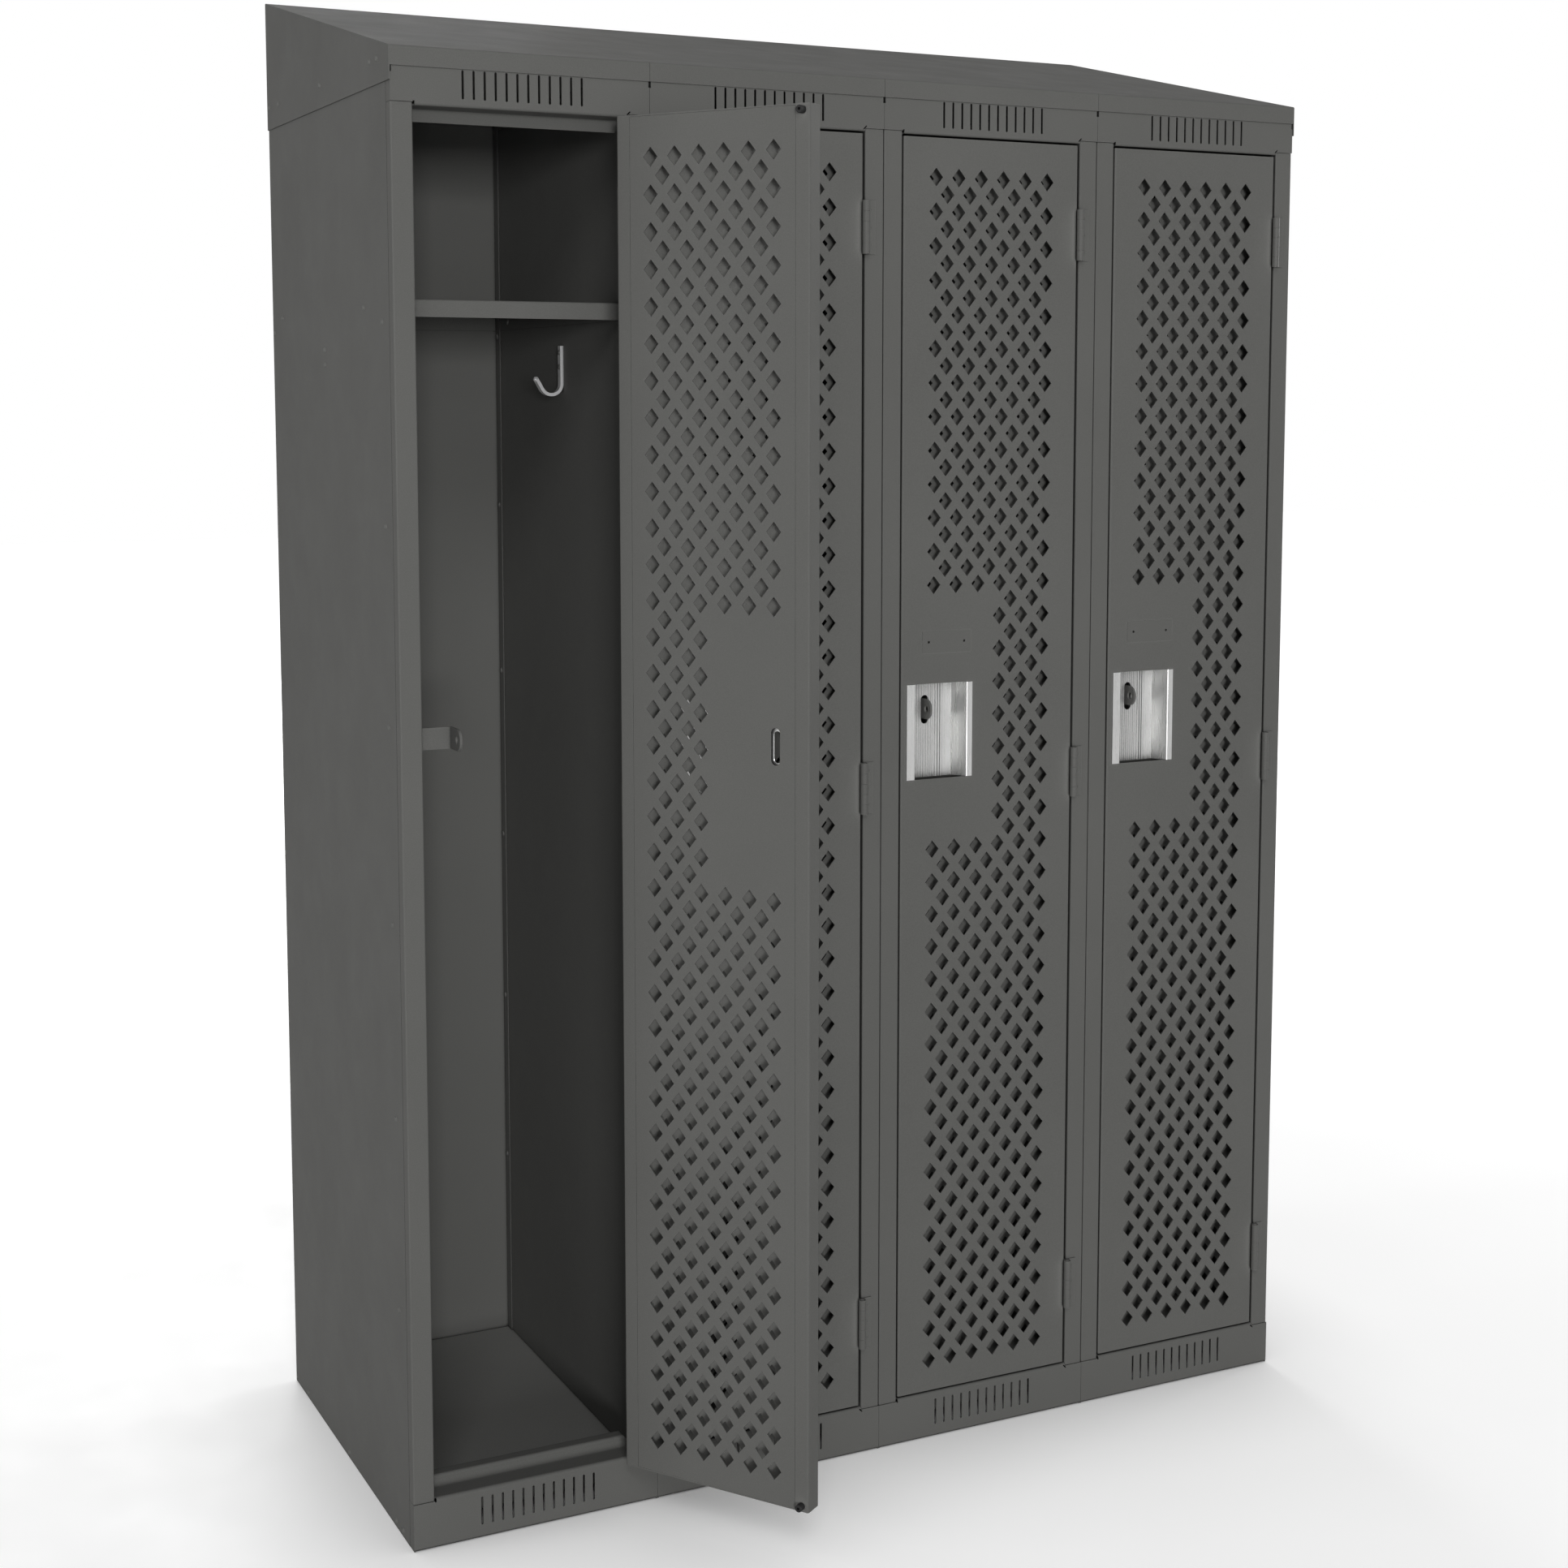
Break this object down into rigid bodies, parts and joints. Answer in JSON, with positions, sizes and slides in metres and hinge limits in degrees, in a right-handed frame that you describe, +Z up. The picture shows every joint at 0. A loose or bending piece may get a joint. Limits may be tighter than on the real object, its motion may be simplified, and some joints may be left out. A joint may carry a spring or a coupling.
{
  "type": "locker cabinet",
  "caption": "Bank of side-by-side full-height steel lockers with diamond-perforated hinged doors, a shelf and coat hooks inside each, and sloping hoods on top.",
  "frame": {"origin": "on the floor at the middle of the footprint, under the middle divider", "axes": "+Z up along the height, +X to the right as seen from the front, +Y from the front towards the back"},
  "size_m": [1.2246, 0.7637, 1.8283],
  "materials": {
    "painted_steel": "satin charcoal powder coat",
    "pull_aluminium": "ribbed satin anodised",
    "hook_metal": "polished plating",
    "strike_steel": "satin coat over thick steel",
    "hinge_steel": "satin charcoal powder coat",
    "pin_steel": "bright drawn wire",
    "rivet_metal": "satin",
    "bumper_rubber": "matt black"
  },
  "bodies": {
    "cabinet": {"side_panel_left": "painted_steel", "divider_1": "painted_steel", "divider_2": "painted_steel", "divider_3": "painted_steel", "side_panel_right": "painted_steel", "back_panel_1": "painted_steel", "back_panel_2": "painted_steel", "back_panel_3": "painted_steel", "back_panel_4": "painted_steel", "header_1": "painted_steel", "header_2": "painted_steel", "header_3": "painted_steel", "header_4": "painted_steel", "sill_1": "painted_steel", "sill_2": "painted_steel", "sill_3": "painted_steel", "sill_4": "painted_steel", "jambs_1": "painted_steel", "jambs_2": "painted_steel", "jambs_3": "painted_steel", "jambs_4": "painted_steel", "floor_panel_1": "painted_steel", "floor_panel_2": "painted_steel", "floor_panel_3": "painted_steel", "floor_panel_4": "painted_steel", "shelf_1": "painted_steel", "shelf_2": "painted_steel", "shelf_3": "painted_steel", "shelf_4": "painted_steel", "slope_hood_1": "painted_steel", "slope_hood_2": "painted_steel", "slope_hood_3": "painted_steel", "slope_hood_4": "painted_steel", "roof_panels": "painted_steel", "coat_hooks": "hook_metal", "lock_strikes": "strike_steel", "frame_hinge_leaves": "hinge_steel", "hinge_pins": "pin_steel", "rivets": "rivet_metal"},
    "door_1": {"door_1_outer_skin": "painted_steel", "door_1_inner_skin": "painted_steel", "door_1_pull": "pull_aluminium", "door_1_hinge_leaves": "hinge_steel", "door_1_bumpers": "bumper_rubber"},
    "door_2": {"door_2_outer_skin": "painted_steel", "door_2_inner_skin": "painted_steel", "door_2_pull": "pull_aluminium", "door_2_hinge_leaves": "hinge_steel", "door_2_bumpers": "bumper_rubber"},
    "door_3": {"door_3_outer_skin": "painted_steel", "door_3_inner_skin": "painted_steel", "door_3_pull": "pull_aluminium", "door_3_hinge_leaves": "hinge_steel", "door_3_bumpers": "bumper_rubber"},
    "door_4": {"door_4_outer_skin": "painted_steel", "door_4_inner_skin": "painted_steel", "door_4_pull": "pull_aluminium", "door_4_hinge_leaves": "hinge_steel", "door_4_bumpers": "bumper_rubber"}
  },
  "joints": [
    {"name": "door_1_hinge", "type": "hinge", "parent": "cabinet", "child": "door_1", "pos_m": [-0.3317, -0.2712, 0.85], "axis": [0, 0, 1], "range_deg": [-124, 51]},
    {"name": "door_2_hinge", "type": "hinge", "parent": "cabinet", "child": "door_2", "pos_m": [-0.0269, -0.2712, 0.85], "axis": [0, 0, 1], "range_deg": [0, 175]},
    {"name": "door_3_hinge", "type": "hinge", "parent": "cabinet", "child": "door_3", "pos_m": [0.2779, -0.2712, 0.85], "axis": [0, 0, 1], "range_deg": [0, 175]},
    {"name": "door_4_hinge", "type": "hinge", "parent": "cabinet", "child": "door_4", "pos_m": [0.5827, -0.2712, 0.85], "axis": [0, 0, 1], "range_deg": [0, 175]}
  ]
}
